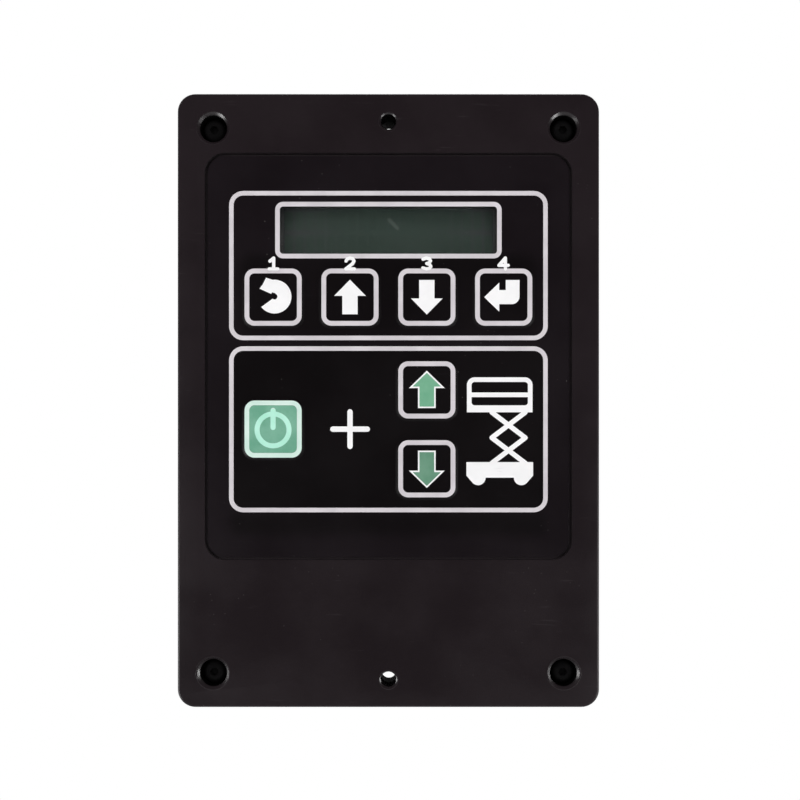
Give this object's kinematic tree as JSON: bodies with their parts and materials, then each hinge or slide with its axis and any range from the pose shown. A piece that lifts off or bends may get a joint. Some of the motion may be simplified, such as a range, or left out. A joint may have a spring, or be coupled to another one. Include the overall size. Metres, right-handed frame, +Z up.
{
  "type": "lift ground control panel",
  "caption": "Panel-mounted control box for a scissor lift: black face with a character display, a membrane keypad with pressing keys and printed symbols, and sealed rear headers.",
  "frame": {"origin": "middle between the two mounting holes, on the flange's back face, which is the mounting plane", "axes": "+Z up the panel, +X to the operator's right, +Y backwards through the machine's panel; the operator stands at -Y"},
  "size_m": [0.165, 0.0723, 0.24],
  "materials": {
    "cover_plastic": "fine moulded texture, black",
    "overlay_film": "velvet textured film, black",
    "white_ink": "screen print, white",
    "mint_ink": "screen print, pale mint",
    "green_ink": "screen print, sea green",
    "clear_window": "clear window",
    "spacer_film": "polyester film",
    "circuit_film": "polyester film with silver tracks",
    "adhesive_film": "adhesive transfer film",
    "housing_plastic": "moulded, black",
    "seal_rubber": "satin",
    "foam_rubber": "closed-cell foam",
    "black_steel": "black oxide",
    "insert_brass": "turned",
    "bezel_steel": "black enamel",
    "display_glass": "grey-green liquid crystal cell",
    "light_guide": "translucent light guide",
    "display_laminate": "green solder mask",
    "board_laminate": "green solder mask",
    "chip_resin": "moulded epoxy",
    "zinc_steel": "zinc plated",
    "black_nylon": "moulded",
    "ribbon_film": "ribbon insulation",
    "relay_case": "moulded case",
    "capacitor_sleeve": "shrink sleeve",
    "ferrite": "ferrite and copper winding",
    "ivory_nylon": "moulded",
    "header_nylon": "glass-filled nylon, black",
    "carrier_nylon": "glass-filled nylon, dark grey",
    "pin_metal": "tin plated",
    "silicone_seal": "silicone",
    "vent_nylon": "moulded",
    "dome_steel": "spring steel"
  },
  "bodies": {
    "root": {"face_cover": "cover_plastic", "graphic_overlay": "overlay_film", "overlay_print": "white_ink", "display_window": "clear_window", "keypad_spacer": "spacer_film", "keypad_circuit": "circuit_film", "keypad_adhesive": "adhesive_film", "rear_housing": "housing_plastic", "housing_gasket": "seal_rubber", "panel_gasket": "foam_rubber", "corner_screws": "black_steel", "threaded_inserts": "insert_brass", "window_gasket": "foam_rubber", "display_bezel": "bezel_steel", "display_glass": "display_glass", "display_backlight": "light_guide", "display_board": "display_laminate", "display_chips": "chip_resin", "display_screws": "zinc_steel", "display_sockets": "black_nylon", "display_ribbon": "ribbon_film", "main_board": "board_laminate", "processor": "chip_resin", "driver_chips": "chip_resin", "power_transistors": "chip_resin", "relays": "relay_case", "capacitors": "capacitor_sleeve", "inductor": "ferrite", "board_screws": "zinc_steel", "keypad_socket": "ivory_nylon", "header_left": "header_nylon", "header_right": "header_nylon", "header_pins": "pin_metal", "header_seals": "silicone_seal", "pin_carriers": "carrier_nylon", "vent_plug": "vent_nylon", "escape_dome": "dome_steel", "up_dome": "dome_steel", "down_dome": "dome_steel", "enter_dome": "dome_steel", "enable_dome": "dome_steel", "raise_dome": "dome_steel", "lower_dome": "dome_steel"},
    "escape_button": {"escape_key": "overlay_film", "escape_key_print": "white_ink"},
    "up_button": {"up_key": "overlay_film", "up_key_print": "white_ink"},
    "down_button": {"down_key": "overlay_film", "down_key_print": "white_ink"},
    "enter_button": {"enter_key": "overlay_film", "enter_key_print": "white_ink"},
    "enable_button": {"enable_key": "overlay_film", "enable_key_print": "mint_ink", "enable_key_field": "green_ink"},
    "raise_button": {"raise_key": "overlay_film", "raise_key_print": "white_ink", "raise_key_arrow": "green_ink"},
    "lower_button": {"lower_key": "overlay_film", "lower_key_print": "white_ink", "lower_key_arrow": "green_ink"}
  },
  "joints": [
    {"name": "escape_press", "type": "slide", "parent": "root", "child": "escape_button", "axis": [0, 1, 0], "range_m": [0, 0.0005], "stiffness_N_per_m": 1500, "springref_m": -0.0015, "deforming": ["escape_dome"]},
    {"name": "up_press", "type": "slide", "parent": "root", "child": "up_button", "axis": [0, 1, 0], "range_m": [0, 0.0005], "stiffness_N_per_m": 1500, "springref_m": -0.0015, "deforming": ["up_dome"]},
    {"name": "down_press", "type": "slide", "parent": "root", "child": "down_button", "axis": [0, 1, 0], "range_m": [0, 0.0005], "stiffness_N_per_m": 1500, "springref_m": -0.0015, "deforming": ["down_dome"]},
    {"name": "enter_press", "type": "slide", "parent": "root", "child": "enter_button", "axis": [0, 1, 0], "range_m": [0, 0.0005], "stiffness_N_per_m": 1500, "springref_m": -0.0015, "deforming": ["enter_dome"]},
    {"name": "enable_press", "type": "slide", "parent": "root", "child": "enable_button", "axis": [0, 1, 0], "range_m": [0, 0.0005], "stiffness_N_per_m": 1500, "springref_m": -0.0015, "deforming": ["enable_dome"]},
    {"name": "raise_press", "type": "slide", "parent": "root", "child": "raise_button", "axis": [0, 1, 0], "range_m": [0, 0.0005], "stiffness_N_per_m": 1500, "springref_m": -0.0015, "deforming": ["raise_dome"]},
    {"name": "lower_press", "type": "slide", "parent": "root", "child": "lower_button", "axis": [0, 1, 0], "range_m": [0, 0.0005], "stiffness_N_per_m": 1500, "springref_m": -0.0015, "deforming": ["lower_dome"]}
  ]
}
